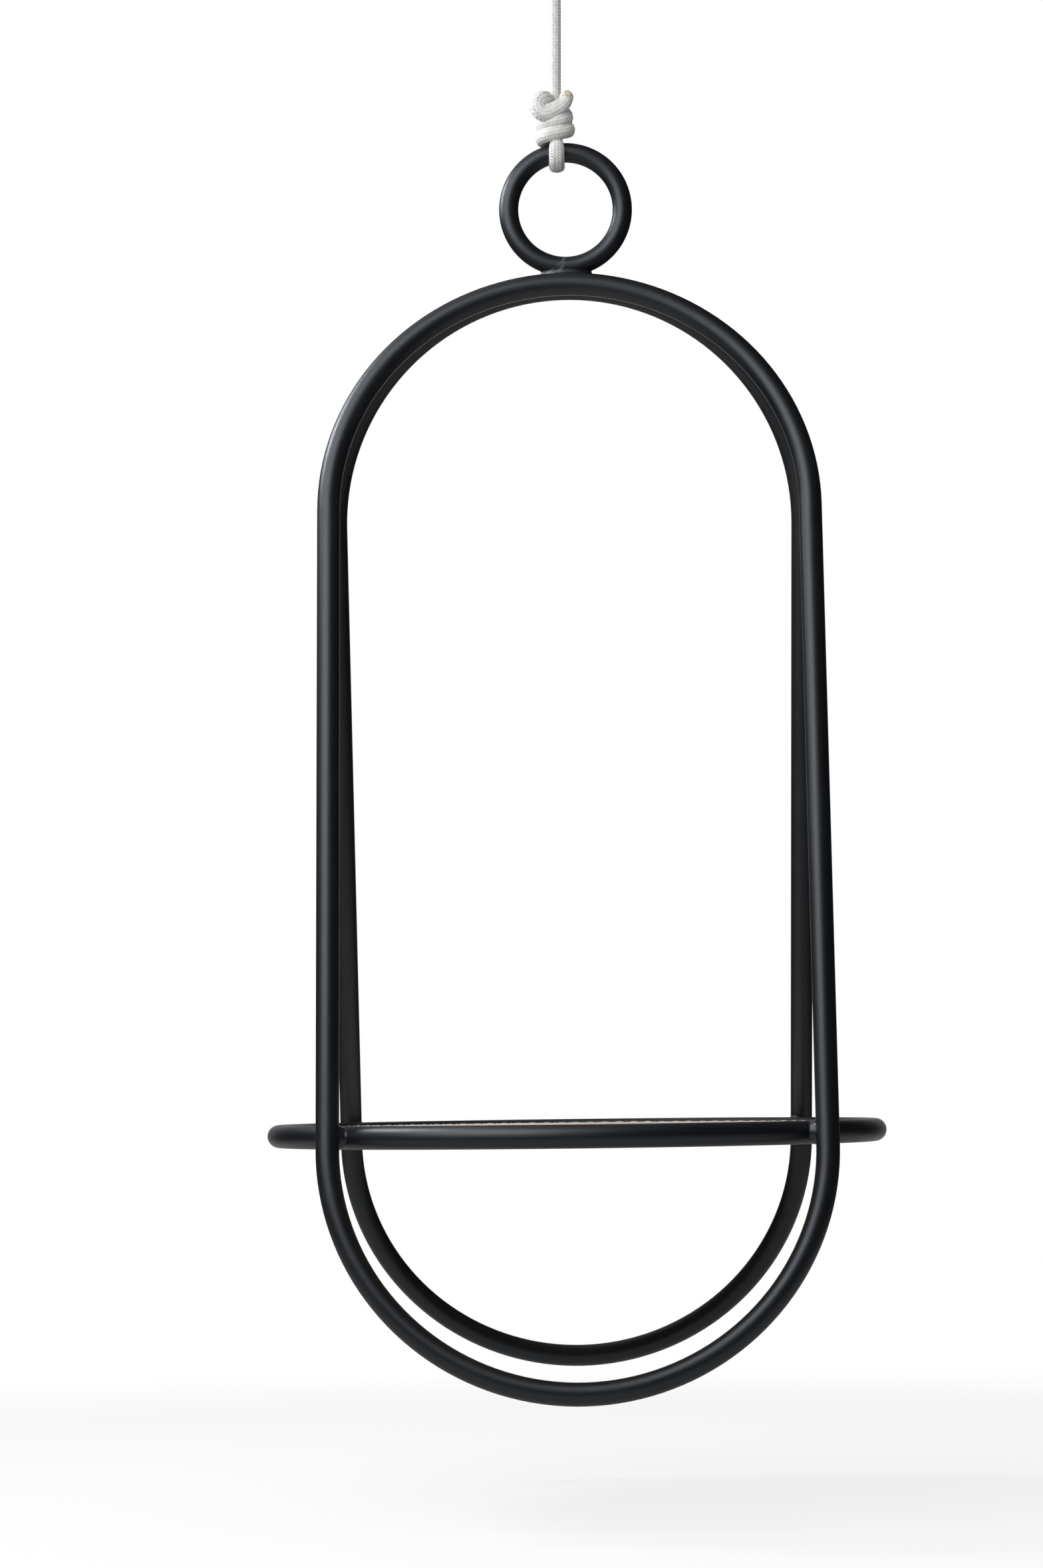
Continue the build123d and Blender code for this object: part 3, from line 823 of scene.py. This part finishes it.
# %% Blow it up
rest = [v.co.copy() for v in disc.vertices]
cushion = bpy.data.objects.new("seat_disc", disc)
scene.collection.objects.link(cushion)
pinned = cushion.vertex_groups.new(name="on_board")
pinned.add([i for i, p in enumerate(rest) if p.z < pad_low.z + 0.0015], 1.0, "REPLACE")
cloth = cushion.modifiers.new("leather_cover", "CLOTH")
cloth.settings.quality = 4
cloth.settings.mass = 0.6
cloth.settings.use_pressure = True
cloth.settings.uniform_pressure_force = 4.0
cloth.settings.tension_stiffness = cloth.settings.compression_stiffness = 30.0
cloth.settings.bending_stiffness = 2.0
cloth.settings.effector_weights.gravity = 0.0
cloth.settings.vertex_group_mass = "on_board"
for step in range(1, 21):
    scene.frame_set(step)
blown = bpy.data.meshes.new_from_object(cushion.evaluated_get(bpy.context.evaluated_depsgraph_get()))
scene.frame_set(1)
bpy.data.objects.remove(cushion)
moves = [(v.co - p).length for v, p in zip(blown.vertices, rest)]
print("pad rose by up to", round(max(moves) * 1000, 2), "mm")

# %% [markdown]
# The simulation's result is capped.
# Then the sewn line near the edge and the small puckers between stitches are pressed in.
# They come after the remesh, which would have wiped them out.

# %% Cap, sewn line and puckers
stitch_count = 114
most_move, box_margin = 0.0022, 0.0003
sewn_in, sewn_half, sewn_deep = 0.012, 0.005, 0.0009
pucker_reach, pucker_deep = 0.022, 0.0003
for vert, before in zip(blown.vertices, rest):
    move = vert.co - before
    if move.length > most_move:
        move *= most_move / move.length
    spot = before + move
    flat_spot = Vector((spot.x - seat_middle.x, spot.y, 0))
    inward = pad_r - flat_spot.length
    top = ramp(spot.z - pad_low.z, 0.003, 0.005)
    sewn = max(0.0, 1 - abs(inward - sewn_in) / sewn_half)
    wave = math.cos(stitch_count * math.atan2(flat_spot.y, flat_spot.x))
    pucker = wave * max(0.0, 1 - inward / pucker_reach)
    spot.z += top * (pucker * pucker_deep - sewn * sewn_deep)
    spot.z = max(pad_low.z + box_margin, min(pad_high.z - box_margin, spot.z))
    vert.co = spot
cushion = bpy.data.objects.new("seat_disc", blown)
scene.collection.objects.link(cushion)
finer = cushion.modifiers.new("finer", "SUBSURF")
finer.levels = finer.render_levels = 1
pad_mesh = bpy.data.meshes.new_from_object(cushion.evaluated_get(bpy.context.evaluated_depsgraph_get()))
bpy.data.objects.remove(cushion)
pad_mesh.materials.clear()
pad_mesh.materials.append(leather)
pad = place("leather_pad", pad_mesh, "seat_frame", "seat_leather", "seat_pad")

# %% [markdown]
# ## Sewn edge
# The cover's edge is rolled over a thin cord and whipped with thick thread, a stitch about every 19 mm.
# The roll swells between stitches, and not quite evenly, because it was sewn by hand.
# It follows a circle, so Geometry Nodes draw it and set a thread at each dip.

# %% Thread
thread, paint = new_material("waxed_thread")
spot = paint.node("ShaderNodeTexCoord", out="Object")
twist = speckle(paint, spot, 1500.0, 2.0)
colour = twist.mix((0.60, 0.52, 0.44, 1.0), (0.84, 0.77, 0.69, 1.0))
finish(paint, {"Base Color": colour, "Roughness": 0.55 + twist * 0.2,
               "Normal": bump(paint, twist, 0.4, 0.0003)})

edge_tree, wire = new_tree("rolled_edge", Radius="Float", Roll="Float", Swell="Float", Stitches="Int",
                           Thread="Float", Leather="Material", Waxed="Material")
start = wire["Geometry"]
circle = ring_curve(start, 1140, wire["Radius"])
way_round = start.node("GeometryNodeSplineParameter", out="Factor") * (2 * math.pi)
uneven = start.node("ShaderNodeTexNoise", inputs={"Scale": 60.0, "Detail": 2.0}, out="Fac") * 3.0 - 1.5
wave = start.math("COSINE", way_round * wire["Stitches"] + math.pi) + uneven
swollen = wave * wire["Swell"] + wire["Roll"]
roll = start.node("GeometryNodeCurveToMesh", inputs={
    "Curve": circle, "Profile Curve": ring_curve(start, 9, 1.0), "Scale": swollen})
roll = start.node("GeometryNodeSetMaterial", inputs={0: roll, "Material": wire["Leather"]})
print("rolled edge:", len(edge_tree.nodes), "nodes so far")

# %% Whipped stitches
loop = ring_curve(start, 10, wire["Roll"] - wire["Thread"] / 2)
yarn = ring_curve(start, 5, wire["Thread"])
stitch = start.node("GeometryNodeCurveToMesh", inputs={"Curve": loop, "Profile Curve": yarn})
places = start.node("GeometryNodeCurveToPoints", {"mode": "COUNT"}, {
    "Curve": circle, "Count": wire["Stitches"]})
along = Wire(edge_tree, places.socket.node.outputs["Tangent"])
turned = start.node("FunctionNodeAlignEulerToVector", {"axis": "Z"}, {"Vector": along})
lean = start.node("FunctionNodeRotateEuler", {"space": "LOCAL"}, {
    "Rotation": turned, "Rotate By": (0.3, 0.2, 0.0)})
stitches = start.node("GeometryNodeInstanceOnPoints", inputs={
    "Points": places, "Instance": stitch, "Rotation": lean})
stitches = start.node("GeometryNodeRealizeInstances", inputs={0: stitches})
stitches = start.node("GeometryNodeSetMaterial", inputs={0: stitches, "Material": wire["Waxed"]})
joined = start.node("GeometryNodeJoinGeometry", inputs={0: roll})
edge_tree.links.new(stitches.socket, joined.socket.node.inputs[0])
smooth = start.node("GeometryNodeSetShadeSmooth", inputs={"Geometry": joined})
start.node("NodeGroupOutput", inputs={0: smooth})
print("rolled edge:", len(edge_tree.nodes), "nodes")

# %% Edge piece
welt_low, welt_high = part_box("seat_welt")
welt_half, edge_rise = 0.0025, 0.0016
welt_r = (welt_high.x - welt_low.x) / 2 - welt_half
edge_mesh = run_tree(edge_tree, bpy.data.meshes.new("edge_seed"), Radius=welt_r, Roll=0.0031, Swell=0.0005,
                     Stitches=stitch_count, Thread=0.0008, Leather=leather, Waxed=thread)
for vert in edge_mesh.vertices:
    vert.co += Vector((seat_middle.x, 0, (welt_low.z + welt_high.z) / 2 + edge_rise))
place("rolled_edge", edge_mesh, "seat_frame", "seat_leather", "seat_welt")
